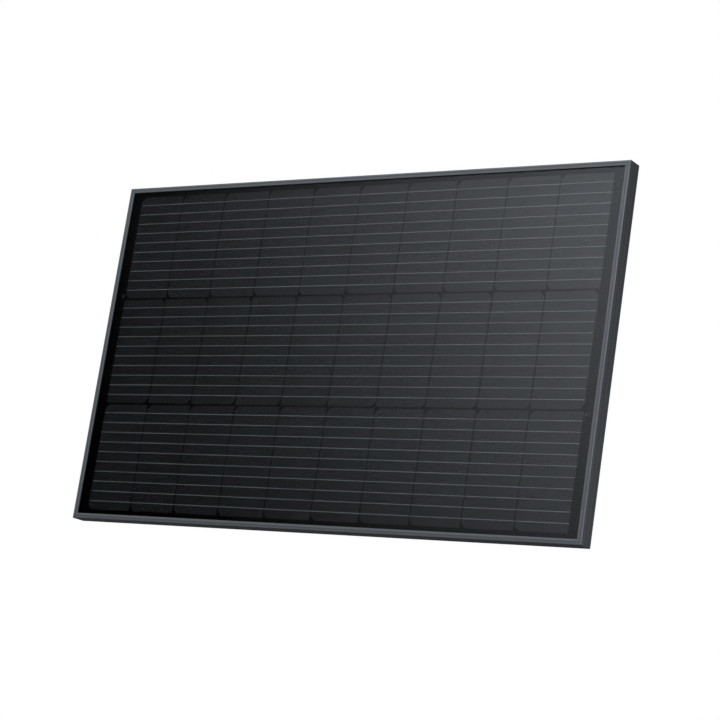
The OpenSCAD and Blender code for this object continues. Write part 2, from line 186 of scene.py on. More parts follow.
@dataclass(frozen=True)
class BlackAnodised(Finish):
    """Extruded aluminium with a black anodised skin: satin grey in soft light, with faint die lines and
    painted shade in the lip's groove.
    """

    dark: str = "#868788"
    light: str = "#979899"
    roughness: float = 0.5
    die_line_mm: float = 0.5
    cloud_mm: float = 60.0
    # The recess fields place the painted shade in the lip's groove, and set how dark it is and how far it
    # fades.
    recess_mm: tuple[float, float] = (0.0, 0.0)
    painted_shade_in_groove: float = 0.76
    recess_fade_mm: float = 0.8
    run_stretch: float = 0.01
    depth_mm: float = 0.02
    bump: float = 0.12
    gloss_swing: tuple[float, float] = (-0.05, 0.06)

    def shade(self, tree: bpy.types.NodeTree) -> bpy.types.NodeSocket:
        """Draws die lines by the rail's UV map, whose first axis runs along it, in metres, and paints shade
        in the groove by its second axis.
        """
        uv = add_node(tree, "ShaderNodeUVMap", uv_map="rail").outputs[0]
        lines_at = add_node(tree, "ShaderNodeMapping", {"Vector": uv, "Scale": (self.run_stretch, 1, 1)})
        lines = add_node(tree, "ShaderNodeTexNoise", {
            "Vector": lines_at, "Scale": 1 / (self.die_line_mm * MM), "Detail": 3.0, "Roughness": 0.6})
        clouds = add_node(tree, "ShaderNodeTexNoise", {
            "Vector": self.place(tree), "Scale": 1 / (self.cloud_mm * MM), "Detail": 2.0})
        both = add_node(tree, "ShaderNodeMath", {0: lines, 1: clouds}, operation="MULTIPLY")
        colour = add_node(tree, "ShaderNodeMix", {
            Mix.FACTOR: both, Mix.A: linear(self.dark), Mix.B: linear(self.light)}, data_type="RGBA")
        # Painted shade: across the lip's groove the colour is darkened, fading back over a short band on
        # each side, where the groove would lie in shade.
        across = add_node(tree, "ShaderNodeSeparateXYZ", {0: uv}).outputs["Y"]
        middle, half = sum(self.recess_mm) / 2 * MM, (self.recess_mm[1] - self.recess_mm[0]) / 2 * MM
        off = add_node(tree, "ShaderNodeMath", {0: across, 1: middle}, operation="SUBTRACT")
        away = add_node(tree, "ShaderNodeMath", {0: off}, operation="ABSOLUTE")
        groove_shade_factor = add_node(tree, "ShaderNodeMapRange", {
            "Value": away, "From Min": half, "From Max": half + self.recess_fade_mm * MM,
            "To Min": self.painted_shade_in_groove, "To Max": 1.0})
        colour_with_groove_shade = add_node(tree, "ShaderNodeVectorMath", {0: colour.outputs[Mix.RESULT], "Scale": groove_shade_factor},
                         operation="SCALE")
        low, high = self.gloss_swing
        rough = add_node(tree, "ShaderNodeMapRange", {
            "Value": lines, "To Min": self.roughness + low, "To Max": self.roughness + high})
        bump = add_node(tree, "ShaderNodeBump", {
            "Height": lines, "Strength": self.bump, "Distance": self.depth_mm * MM})
        return add_node(tree, "ShaderNodeBsdfPrincipled", {
            "Base Color": colour_with_groove_shade, "Metallic": 1.0, "Roughness": rough, "Normal": bump}).outputs[0]


@dataclass(frozen=True)
class Grained(Finish):
    """A surface whose colour, gloss and height all follow one grain; its kinds differ in their grain."""

    dark: str
    light: str
    roughness: float
    grain_mm: float = 0.35
    depth_mm: float = 0.03
    metallic: float = 0.0
    ior: float = 1.5
    detail: float = 2.0
    grain_gain: float = 0.6
    bump: float = 0.4
    gloss_swing: tuple[float, float] = (-0.05, 0.08)
    stretch: tuple[float, float, float] = (1.0, 1.0, 1.0)

    def shade(self, tree: bpy.types.NodeTree) -> bpy.types.NodeSocket:
        """Draws the grain in colour, gloss and height."""
        grain = add_node(tree, "ShaderNodeTexNoise", {
            "Vector": self.place(tree, self.stretch), "Scale": 1 / (self.grain_mm * MM),
            "Detail": self.detail, "Roughness": self.grain_gain})
        colour = add_node(tree, "ShaderNodeMix", {
            Mix.FACTOR: grain, Mix.A: linear(self.dark), Mix.B: linear(self.light)}, data_type="RGBA")
        low, high = self.gloss_swing
        rough = add_node(tree, "ShaderNodeMapRange", {
            "Value": grain, "To Min": self.roughness + low, "To Max": self.roughness + high})
        bump = add_node(tree, "ShaderNodeBump", {
            "Height": grain, "Strength": self.bump, "Distance": self.depth_mm * MM})
        return add_node(tree, "ShaderNodeBsdfPrincipled", {
            "Base Color": colour.outputs[Mix.RESULT], "Metallic": self.metallic, "Roughness": rough,
            "IOR": self.ior, "Normal": bump}).outputs[0]


@dataclass(frozen=True)
class MillAluminium(Grained):
    """Bare sawn aluminium, as the corner keys are: light grey, with saw marks across the key's depth."""

    grain_mm: float = 0.6
    metallic: float = 1.0
    detail: float = 3.0
    grain_gain: float = 0.5
    bump: float = 0.25
    gloss_swing: tuple[float, float] = (0.0, 0.0)
    stretch: tuple[float, float, float] = (1.0, 0.05, 1.0)


@dataclass(frozen=True)
class DippedRibbon(Grained):
    """Copper ribbon with a dipped skin, of tin or of black lacquer: slightly uneven along its length."""

    grain_mm: float = 4.0
    depth_mm: float = 0.02
    detail: float = 3.0
    grain_gain: float = 0.5
    bump: float = 0.2
    gloss_swing: tuple[float, float] = (-0.06, 0.06)


@dataclass(frozen=True)
class Moulded(Grained):
    """Moulded polymer or cured rubber: even colour with a spark-eroded grain."""


@dataclass(frozen=True)
class SolarGlass(Finish):
    """Low-iron tempered glass, faintly rolled: clear, with a soft sheen and a trace of green."""

    tint: str = "#fbfdfc"
    roughness: float = 0.05
    ior: float = 1.5
    ripple_mm: float = 2.5
    ripple_depth_mm: float = 0.02
    ripple_bump: float = 0.02

    def shade(self, tree: bpy.types.NodeTree) -> bpy.types.NodeSocket:
        """Makes clear glass that lamps shine through, so what is behind it stays lit."""
        ripple = add_node(tree, "ShaderNodeTexNoise", {
            "Vector": self.place(tree), "Scale": 1 / (self.ripple_mm * MM), "Detail": 1.0})
        bump = add_node(tree, "ShaderNodeBump", {
            "Height": ripple, "Strength": self.ripple_bump, "Distance": self.ripple_depth_mm * MM})
        glass = add_node(tree, "ShaderNodeBsdfPrincipled", {
            "Base Color": linear(self.tint), "Roughness": self.roughness, "IOR": self.ior,
            "Transmission Weight": 1.0, "Normal": bump})
        clear = add_node(tree, "ShaderNodeBsdfTransparent", {"Color": linear(self.tint)})
        shadow = add_node(tree, "ShaderNodeLightPath").outputs["Is Shadow Ray"]
        return add_node(tree, "ShaderNodeMixShader", {0: shadow, 1: glass, 2: clear}).outputs[0]


@dataclass(frozen=True)
class ClearFilm(Finish):
    """Cross-linked encapsulant: clear resin with the faintest haze where it set unevenly."""

    clear: str = "#ffffff"
    hazy: str = "#fafbfb"
    haze_mm: float = 30.0

    def shade(self, tree: bpy.types.NodeTree) -> bpy.types.NodeSocket:
        """Lets everything through, less a trace that drifts over the sheet."""
        haze = add_node(tree, "ShaderNodeTexNoise", {
            "Vector": self.place(tree), "Scale": 1 / (self.haze_mm * MM), "Detail": 2.0})
        colour = add_node(tree, "ShaderNodeMix", {
            Mix.FACTOR: haze, Mix.A: linear(self.clear), Mix.B: linear(self.hazy)}, data_type="RGBA")
        return add_node(tree, "ShaderNodeBsdfTransparent", {"Color": colour.outputs[Mix.RESULT]}).outputs[0]


@dataclass(frozen=True)
class BlackBacksheet(Finish):
    """Black laminated polyester sheet: matte, with a fine pressed texture."""

    dark: str = "#131416"
    light: str = "#1b1c1f"
    roughness: float = 0.5
    grain_mm: float = 0.7
    depth_mm: float = 0.05
    cloud_mm: float = 80.0
    ior: float = 1.5

    def shade(self, tree: bpy.types.NodeTree) -> bpy.types.NodeSocket:
        """Draws the pressed grain and slow shifts of tone."""
        grain = add_node(tree, "ShaderNodeTexVoronoi", {
            "Vector": self.place(tree), "Scale": 1 / (self.grain_mm * MM)}, feature="SMOOTH_F1")
        clouds = add_node(tree, "ShaderNodeTexNoise", {
            "Vector": self.place(tree), "Scale": 1 / (self.cloud_mm * MM), "Detail": 3.0})
        colour = add_node(tree, "ShaderNodeMix", {
            Mix.FACTOR: clouds, Mix.A: linear(self.dark), Mix.B: linear(self.light)}, data_type="RGBA")
        bump = add_node(tree, "ShaderNodeBump", {
            "Height": grain.outputs["Distance"], "Strength": 0.2, "Distance": self.depth_mm * MM})
        return add_node(tree, "ShaderNodeBsdfPrincipled", {
            "Base Color": colour.outputs[Mix.RESULT], "Roughness": self.roughness, "IOR": self.ior,
            "Normal": bump}).outputs[0]


@dataclass(frozen=True)
class SiliconCell(Finish):
    """Textured mono silicon under a blue-black coating, with fine silver fingers across it."""

    dark: str = "#0d0d0e"
    light: str = "#101011"
    finger: str = "#222427"
    sheen: str = "#fff6ff"
    roughness: float = 0.24
    ior: float = 1.53
    finger_pitch_mm: float = 1.3
    finger_mm: float = 0.08
    pitch_x_mm: float = 93.0
    pitch_z_mm: float = 185.0

    def shade(self, tree: bpy.types.NodeTree) -> bpy.types.NodeSocket:
        """Gives each cell its own shade, then draws the fingers, wider than the real 0.03 mm."""
        at = self.place(tree)
        cell_at = add_node(tree, "ShaderNodeVectorMath", {
            0: at, 1: (self.pitch_x_mm * MM, 1, self.pitch_z_mm * MM)}, operation="DIVIDE")
        centred = add_node(tree, "ShaderNodeVectorMath", {0: cell_at, 1: (0, 0, 0.5)}, operation="ADD")
        cell_no = add_node(tree, "ShaderNodeVectorMath", {0: centred}, operation="FLOOR")
        shade = add_node(tree, "ShaderNodeTexWhiteNoise", {"Vector": cell_no})
        colour = add_node(tree, "ShaderNodeMix", {
            Mix.FACTOR: shade.outputs["Value"], Mix.A: linear(self.dark), Mix.B: linear(self.light)},
            data_type="RGBA")
        x = add_node(tree, "ShaderNodeSeparateXYZ", {0: at}).outputs["X"]
        off_line = add_node(tree, "ShaderNodeMath", {0: x, 1: self.finger_pitch_mm * MM / 2},
                            operation="PINGPONG")
        on_finger = add_node(tree, "ShaderNodeMath", {0: off_line, 1: self.finger_mm * MM / 2},
                             operation="LESS_THAN")
        lined = add_node(tree, "ShaderNodeMix", {
            Mix.FACTOR: on_finger, Mix.A: colour.outputs[Mix.RESULT], Mix.B: linear(self.finger)},
            data_type="RGBA")
        return add_node(tree, "ShaderNodeBsdfPrincipled", {
            "Base Color": lined.outputs[Mix.RESULT], "Roughness": self.roughness, "IOR": self.ior,
            "Specular Tint": linear(self.sheen)}).outputs[0]


@dataclass(frozen=True)
class FloorPaint(Moulded):
    """Pale matt floor paint, which sends little light back up, so that the panel's underside stays in
    shade.
    """

    bounce: str = "#3c3c3c"

    def shade(self, tree: bpy.types.NodeTree) -> bpy.types.NodeSocket:
        """Looks pale, and is darker to the light that it throws back at the panel."""
        paint = super().shade(tree)
        # Painted shade: every ray but the camera's finds a dark floor, so little light bounces onto the
        # panel's underside.
        dim_bounce = add_node(tree, "ShaderNodeBsdfDiffuse", {"Color": linear(self.bounce)})
        seen = add_node(tree, "ShaderNodeLightPath").outputs["Is Camera Ray"]
        return add_node(tree, "ShaderNodeMixShader", {0: seen, 1: dim_bounce, 2: paint}).outputs[0]


MILL_ALUMINIUM = MillAluminium("sawn_mill_aluminium", "#8f9193", "#b2b4b6", roughness=0.38)
SOLAR_GLASS = SolarGlass("rolled_solar_glass")
CLEAR_FILM = ClearFilm("clear_encapsulant_resin")
BACKSHEET_OUT = BlackBacksheet("black_polyester_backsheet")
# The resin wets the sheet and the lacquer, so they hardly shine through it: their IOR stands for that.
BACKSHEET_IN = BlackBacksheet("black_backsheet_under_resin", "#040405", "#060607", ior=1.05)
SILICON = SiliconCell("coated_mono_silicon")
TINNED = DippedRibbon("tin_dipped_copper", "#949799", "#a8aaac", metallic=1.0, roughness=0.42)
SILVER = DippedRibbon("fired_silver_paste", "#5e6164", "#727578", metallic=1.0, roughness=0.6, grain_mm=0.4)
LACQUERED = DippedRibbon("black_lacquered_copper", "#040405", "#060607", roughness=0.6, ior=1.05)
# The sealant's skin and the floor's roller marks are drawn coarser than the real ones, so that they show.
SEALANT = Moulded("black_silicone_sealant", "#070708", "#0d0d0e", roughness=0.6, grain_mm=1.5)
GASKET = Moulded("grey_silicone_rubber", "#3a3b3c", "#444546", roughness=0.65)
NYLON = Moulded("black_glass_filled_nylon", "#17181a", "#202123", roughness=0.5)
EPOXY = Moulded("black_epoxy_moulding", "#1c1c1d", "#242425", roughness=0.42, grain_mm=0.2)
BRASS = DippedRibbon("tin_plated_brass", "#a8a9a6", "#bdbebb", metallic=1.0, roughness=0.32)
PRINT = Moulded("black_label_print", "#141414", "#1a1a1a", roughness=0.6, grain_mm=0.3)
LABEL = Moulded("silver_polyester_label", "#a4a7aa", "#b0b3b6", roughness=0.45)
FLOOR_PAINT = FloorPaint("pale_studio_floor", "#dddad5", "#e5e2dd", roughness=0.8, grain_mm=40)


# ---- Mesh helpers ----


def mesh_piece(name: str, mesh: bpy.types.Mesh, body: Body,
               nodes: Iterable[str] = ()) -> None:
    """Puts a finished mesh in the scene as a piece of the panel.

    Args:
        name: The piece's name.
        mesh: Its mesh, already in place, with its materials.
        body: The CAD body that it rides on.
        nodes: The CAD nodes that it stands for.
    """
    piece = bpy.data.objects.new(name, mesh)
    bpy.context.scene.collection.objects.link(piece)
    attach(piece, body.value)
    if nodes:
        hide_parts(*nodes)
    LOG.info("%s: %d faces on %s", name, len(mesh.polygons), body.value)


def paint(mesh: bpy.types.Mesh, *finishes: Finish) -> None:
    """Gives a mesh new finishes in place of the ones it had."""
    mesh.materials.clear()
    for finish in finishes:
        mesh.materials.append(finish.material())


def smooth(mesh: bpy.types.Mesh, degrees: float) -> None:
    """Smooths a mesh's shading, apart from the edges that turn more sharply than an angle."""
    mesh.shade_smooth()
    mesh.set_sharp_from_angle(angle=math.radians(degrees))


def dress(node: str, finish: Finish) -> None:
    """Gives a CAD node that keeps its shape a finish.

    Args:
        node: The CAD node's name.
        finish: The finish for its whole surface.
    """
    paint(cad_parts[node].data, finish)
    LOG.info("%s: %s", node, finish.name)


def baked(source: bpy.types.Object, name: str) -> bpy.types.Mesh:
    """Turns an object with its modifiers into a plain mesh and removes the object.

    Args:
        source: The object to evaluate.
        name: The new mesh's name.

    Returns:
        The mesh, with all modifiers applied.
    """
    graph = bpy.context.evaluated_depsgraph_get()
    made = bpy.data.meshes.new_from_object(source.evaluated_get(graph))
    made.name = name
    old = source.data
    bpy.data.objects.remove(source)
    if old.users == 0:
        bpy.data.meshes.remove(old)
    return made


def copied(node: str, near: float = 0.0005, flat: float = 0.5) -> bmesh.types.BMesh:
    """Copies a CAD node's mesh for a piece that reshapes it, with its loose triangles joined up.

    Args:
        node: The CAD node's name.
        near: How close two points are, in mm, when they are one.
        flat: How little two faces turn, in degrees, when they are one.

    Returns:
        The copy, which the caller frees.
    """
    mesh = bmesh.new()
    mesh.from_mesh(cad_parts[node].data)
    bmesh.ops.remove_doubles(mesh, verts=mesh.verts[:], dist=near * MM)
    bmesh.ops.dissolve_limit(mesh, angle_limit=math.radians(flat), verts=mesh.verts[:], edges=mesh.edges[:])
    return mesh


def loose_object(name: str, mesh: bmesh.types.BMesh) -> bpy.types.Object:
    """Puts a mesh that still needs modifiers in the scene, and frees the working mesh.

    Args:
        name: The object's name.
        mesh: The working mesh.

    Returns:
        The object.
    """
    made = bpy.data.meshes.new(name)
    mesh.to_mesh(made)
    mesh.free()
    found = bpy.data.objects.new(name, made)
    bpy.context.scene.collection.objects.link(found)
    return found


class Pattern:
    """A Geometry Nodes tree with named inputs, run once and turned into a plain mesh."""

    KINDS = {int: "NodeSocketInt", float: "NodeSocketFloat", Vector: "NodeSocketVector",
             bpy.types.Material: "NodeSocketMaterial"}

    def __init__(self, name: str, values: Mapping[str, InputValue]) -> None:
        """Starts a tree.

        Args:
            name: The tree's name.
            values: The value of each named input.
        """
        self.name, self.values = name, dict(values)
        self.tree = bpy.data.node_groups.new(name, "GeometryNodeTree")
        for key, value in self.values.items():
            kind = next(k for t, k in self.KINDS.items() if isinstance(value, t))
            self.tree.interface.new_socket(key, in_out="INPUT", socket_type=kind)
        self.tree.interface.new_socket("Geometry", in_out="OUTPUT", socket_type="NodeSocketGeometry")
        self.inputs = self.add("NodeGroupInput").outputs

    def add(self, kind: str, inputs: Mapping[Union[str, int], Value] = {},
            **settings: Any) -> bpy.types.Node:
        """Adds a node to the tree, as add_node does."""
        return add_node(self.tree, kind, inputs, **settings)

    def run(self, parts: Sequence[tuple[Value, str]], name: str) -> bpy.types.Mesh:
        """Ends the tree and turns its result into a mesh.

        Args:
            parts: Each part's geometry, and the name of the input that holds its material.
            name: The mesh's name.

        Returns:
            A plain mesh with no instances left in it.
        """
        join = self.add("GeometryNodeJoinGeometry")
        for geometry, material in parts:
            real = self.add("GeometryNodeRealizeInstances", {0: geometry})
            done = self.add("GeometryNodeSetMaterial", {
                "Geometry": real, "Material": self.inputs[material]})
            self.tree.links.new(done.outputs[0], join.inputs[0])
        self.add("NodeGroupOutput", {0: join})
        holder = bpy.data.objects.new(name, bpy.data.meshes.new(name))
        bpy.context.scene.collection.objects.link(holder)
        modifier = holder.modifiers.new("pattern", "NODES")
        modifier.node_group = self.tree
        for item in self.tree.interface.items_tree:
            if item.in_out == "INPUT":
                modifier[item.identifier] = self.values[item.name]
        return baked(holder, name)


# ---- Frame ----


@dataclass
class FrameRails:
    """The mitred extrusion round the laminate, its corner keys and the seal in its channel."""

    depth: float = 28.0
    lip: float = 8.5
    lip_t: float = 1.2
    wall: float = 1.5
    shelf_top: float = 21.1
    shelf_t: float = 1.5
    chamber_in: float = 9.5
    flange: float = 24.0
    flange_t: float = 1.6
    edge_r: float = 0.8
    lip_edge_r: float = 0.4
    mitre_gap: float = 0.05
    slot_at: float = 300.0
    slot: tuple[float, float] = (12.0, 7.0)
    earth_at: float = 440.0
    earth_d: float = 4.2
    drain_at: float = 220.0
    drain: tuple[float, float] = (10.0, 3.0)
    groove: tuple[float, float] = (3.3, 4.9)
    groove_d: float = 0.15
    wall_grooves: tuple[float, ...] = (9.0, 19.0)
    wall_groove_w: float = 0.8
    mitre_chamfer: float = 0.15
    crease: float = 28.0
    arc_steps: int = 5
    punch_sides: int = 32
    punch_over: float = 1.0
    bead: tuple[float, float] = (0.9, 1.0)
    bead_under: float = 0.3
    bead_off_glass: float = 0.01
    bead_steps: int = 5
    bead_crease: float = 40.0

    def arc(self, centre: tuple[float, float], radius: float, start: float, steps: int) -> list[Vector]:
        """Gives the points of a quarter circle.

        Args:
            centre: Its centre in the section, in mm.
            radius: Its radius in mm.
            start: The angle it starts at, in degrees; it runs a quarter turn on from there.
            steps: How many parts it has.

        Returns:
            Points from its start to its end.
        """
        turns = [math.radians(start + 90 * i / steps) for i in range(steps + 1)]
        return [Vector((centre[0] + radius * math.cos(a), centre[1] + radius * math.sin(a))) for a in turns]

    def outline(self) -> list[Vector]:
        """Draws the section's outside: x inwards from the outer wall, y from the back plane, in mm."""
        r, q, steps = self.edge_r, self.lip_edge_r, self.arc_steps
        points = self.arc((r, r), r, 180, steps)
        points += [Vector((self.flange, 0)), Vector((self.flange, self.flange_t))]
        points += [Vector((self.chamber_in, self.flange_t)), Vector((self.chamber_in, self.shelf_top))]
        points += [Vector((self.wall, self.shelf_top)), Vector((self.wall, self.depth - self.lip_t))]
        points += [Vector((self.lip, self.depth - self.lip_t))]
        points += self.arc((self.lip - q, self.depth - q), q, 0, steps - 1)
        (low, high), top = self.groove, self.depth
        points += [Vector((high + self.groove_d, top)), Vector((high, top - self.groove_d)),
                   Vector((low, top - self.groove_d)), Vector((low - self.groove_d, top))]
        points += self.arc((r, top - r), r, 90, steps)
        for at in reversed(self.wall_grooves):
            half = self.wall_groove_w / 2
            points += [Vector((0, at + half)), Vector((half / 2, at)), Vector((0, at - half))]
        return points

    def shrunk(self, points: Sequence[Vector]) -> list[Vector]:
        """Draws the section's outside again, set in all round by the mitre's chamfer.

        Args:
            points: The outline, anticlockwise.

        Returns:
            As many points, each moved inwards.
        """
        moved = []
        for i, here in enumerate(points):
            before, after = points[i - 1], points[(i + 1) % len(points)]
            turn = ((here - before).normalized() + (after - here).normalized()).normalized()
            moved.append(here + Vector((-turn.y, turn.x)) * self.mitre_chamfer)
        return moved

    def across(self, x: float) -> float:
        """Gives how far round the section the front lip's point at x lies, in mm."""
        points, length = self.outline(), 0.0
        for here, there in zip(points, points[1:]):
            if here.y > self.depth - 2 * self.groove_d and here.x >= x >= there.x:
                return length + here.x - x
            length += (there - here).length
        return 0.0

    def chamber(self) -> list[Vector]:
        """Draws the hollow that the corner keys sit in."""
        low, high = self.flange_t, self.shelf_top - self.shelf_t
        near, far = self.wall, self.chamber_in - self.shelf_t
        return [Vector((near, low)), Vector((near, high)), Vector((far, high)), Vector((far, low))]

    def extrusion(self, side: Side, length: float, origin: Vector) -> bpy.types.Object:
        """Runs the section along one side and cuts its mitres.

        Args:
            side: Which rail.
            length: Its outside length in metres.
            origin: The middle of its outer wall, on the back plane.

        Returns:
            The uncut rail, with a UV map in metres along and across it.
        """
        loops = [self.outline(), self.chamber()]
        ends = [self.shrunk(loops[0]), loops[1]]
        faces = tessellate_polygon([[p.to_3d() for p in loop] for loop in loops])
        mesh = bmesh.new()
        uv = mesh.loops.layers.uv.new("rail")
        rings: list[list[bmesh.types.BMVert]] = []
        for sign, back_off, shape in ((-1, 0.0, ends), (-1, 1.0, loops), (1, 1.0, loops), (1, 0.0, ends)):
            reach = length / 2 - (self.mitre_gap + back_off * self.mitre_chamfer) * MM
            rings.append([mesh.verts.new(
                origin + side.along * (sign * (reach - p.x * MM))
                - side.outwards * (p.x * MM) - Vector((0, p.y * MM, 0))) for loop in shape for p in loop])
        for a, b, c in faces:
            mesh.faces.new([rings[0][i] for i in (a, b, c)])
            mesh.faces.new([rings[3][i] for i in (c, b, a)])
        for low, high in zip(rings, rings[1:]):
            start = 0
            for loop in loops:
                far = 0.0
                for i, here in enumerate(loop):
                    j = (i + 1) % len(loop)
                    near, far = far, far + (loop[j] - here).length * MM
                    quad = [low[start + i], low[start + j], high[start + j], high[start + i]]
                    strip = mesh.faces.new(quad)
                    for corner, vert, v in zip(strip.loops, quad, (near, far, far, near)):
                        corner[uv].uv = ((vert.co - origin).dot(side.along), v)
                start += len(loop)
        bmesh.ops.recalc_face_normals(mesh, faces=mesh.faces[:])
        return loose_object(f"{side.label}_rail", mesh)

    def cutter(self, places: Sequence[tuple[float, float, float]], side: Side,
               origin: Vector) -> bpy.types.Object:
        """Makes the prisms that punch the flange's slots and holes.

        Args:
            places: The distance along the rail, the length and the width of each, in mm.
            side: Which rail.
            origin: The middle of its outer wall, on the back plane.

        Returns:
            An object with one closed prism for each hole.
        """
        mesh = bmesh.new()
        middle, count, over = (self.chamber_in + self.flange) / 2, self.punch_sides, self.punch_over
        for at, long, wide in places:
            ring = []
            for i in range(count):
                a = 2 * math.pi * (i + 0.5) / count
                shift = (long - wide) / 2 * (1 if math.cos(a) > 0 else -1)
                ring.append((at + shift + wide / 2 * math.cos(a), middle + wide / 2 * math.sin(a)))
            sides = [[mesh.verts.new(origin + side.along * (x * MM) - side.outwards * (u * MM)
                                     - Vector((0, y * MM, 0))) for x, u in ring]
                     for y in (-over, self.flange_t + over)]
            mesh.faces.new(sides[0])
            mesh.faces.new(reversed(sides[1]))
            for i in range(count):
                j = (i + 1) % count
                mesh.faces.new([sides[0][j], sides[0][i], sides[1][i], sides[1][j]])
        bmesh.ops.recalc_face_normals(mesh, faces=mesh.faces[:])
        return loose_object("flange_punch", mesh)

    def sealant_and_shade_bead(self) -> None:
        """Makes the black bead of sealant in the corner between the lips and the glass, hollow in section,
        which also stands in for the shade on the lips' inner walls.
        """
        low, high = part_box("front_glass")
        outer_low, outer_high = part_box("frame_left")[0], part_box("frame_right")[1]
        wide, tall = self.bead
        section = [(-self.bead_under, 0.0), (-self.bead_under, tall), (0.0, tall)]
        for i in range(1, self.bead_steps):
            a = math.radians(90 * i / self.bead_steps)
            section.append((wide * (1 - math.cos(a)), tall * (1 - math.sin(a))))
        section.append((wide, 0.0))
        rings = []
        mesh = bmesh.new()
        for u, y in section:
            inset = (self.lip + u) * MM
            (x0, z0), (x1, z1) = ((outer_low.x + inset, outer_low.z + inset),
                                  (outer_high.x - inset, outer_high.z - inset))
            rings.append([mesh.verts.new((x, low.y - (y + self.bead_off_glass) * MM, z))
                          for x, z in ((x0, z0), (x1, z0), (x1, z1), (x0, z1))])
        for i, here in enumerate(rings):
            there = rings[(i + 1) % len(rings)]
            for j in range(4):
                k = (j + 1) % 4
                mesh.faces.new([here[j], here[k], there[k], there[j]])
        bmesh.ops.recalc_face_normals(mesh, faces=mesh.faces[:])
        # Partly painted shade: the black bead covers the lips' inner walls, which would lie in shade.
        made = baked(loose_object("sealant_and_shade_bead", mesh), "sealant_and_shade_bead")
        paint(made, SEALANT)
        smooth(made, self.bead_crease)
        mesh_piece("sealant_and_shade_bead", made, Body.PANEL)

    def rail(self, side: Side, skin: Finish) -> None:
        """Makes one rail, with the slots and holes through its flange.

        Args:
            side: Which rail.
            skin: The finish of its surface.
        """
        low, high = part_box(f"frame_{side.label}")
        middle = (low + high) / 2
        outer = max(side.outwards.dot(low), side.outwards.dot(high))
        origin = middle + side.outwards * (outer - side.outwards.dot(middle))
        origin.y = high.y
        length = abs((high - low).dot(side.along)) + 2 * self.mitre_gap * MM
        rail = self.extrusion(side, length, origin)
        holes = [(self.drain_at, *self.drain)]
        if side in (Side.TOP, Side.BOTTOM):
            holes = [(self.slot_at, *self.slot), (self.earth_at, self.earth_d, self.earth_d)]
        punch = self.cutter([(way * at, *size) for at, *size in holes for way in (-1, 1)], side, origin)
        cut = rail.modifiers.new("holes", "BOOLEAN")
        cut.operation, cut.object, cut.solver = "DIFFERENCE", punch, "EXACT"
        mesh = baked(rail, f"{side.label}_rail")
        bpy.data.objects.remove(punch)
        paint(mesh, skin)
        smooth(mesh, self.crease)
        mesh_piece(f"{side.label}_rail", mesh, Body.PANEL, [f"frame_{side.label}"])

    def build(self) -> None:
        """Makes the four rails and the bead, and dresses the keys and the seal."""
        # The painted groove shade is placed where the lip's groove lies round the section.
        recess = (self.across(self.groove[1]), self.across(self.groove[0]))
        skin = BlackAnodised("black_anodised_aluminium", recess_mm=recess)
        for side in Side:
            self.rail(side, skin)
        for corner in ("top_left", "top_right", "bottom_left", "bottom_right"):
            dress(f"corner_key_{corner}", MILL_ALUMINIUM)
        dress("edge_seal", SEALANT)
        self.sealant_and_shade_bead()


# ---- Laminate ----


@dataclass
class Laminate:
    """The glass, the clear resin in two sheets and the backsheet."""

    clearance: float = 0.02
    on_face: float = 0.001

    def resin(self, node: str, name: str) -> None:
        """Makes a resin sheet a hair thinner than its CAD node, so it meets no other face.

        Args:
            node: The CAD node.
            name: The new piece's name.
        """
        low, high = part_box(node)
        mesh = copied(node)
        for vert in mesh.verts:
            for face_y, way in ((low.y, 1), (high.y, -1)):
                if abs(vert.co.y - face_y) < self.on_face * MM:
                    vert.co.y += way * self.clearance * MM
        made = baked(loose_object(name, mesh), name)
        paint(made, CLEAR_FILM)
        mesh_piece(name, made, Body.PANEL, [node])

    def backsheet(self) -> None:
        """Makes the backsheet, whose front lies under resin and whose back is in the open."""
        made = baked(loose_object("black_backsheet", copied("backsheet")), "black_backsheet")
        paint(made, BACKSHEET_IN, BACKSHEET_OUT)
        for face in made.polygons:
            face.material_index = 1 if face.normal.y > 0.5 else 0
        mesh_piece("black_backsheet", made, Body.PANEL, ["backsheet"])

    def build(self) -> None:
        """Makes and dresses the sheets."""
        dress("front_glass", SOLAR_GLASS)
        self.resin("front_encapsulant", "front_resin")
        self.resin("rear_encapsulant", "rear_resin")
        self.backsheet()
        dress("lead_insulation", BACKSHEET_IN)


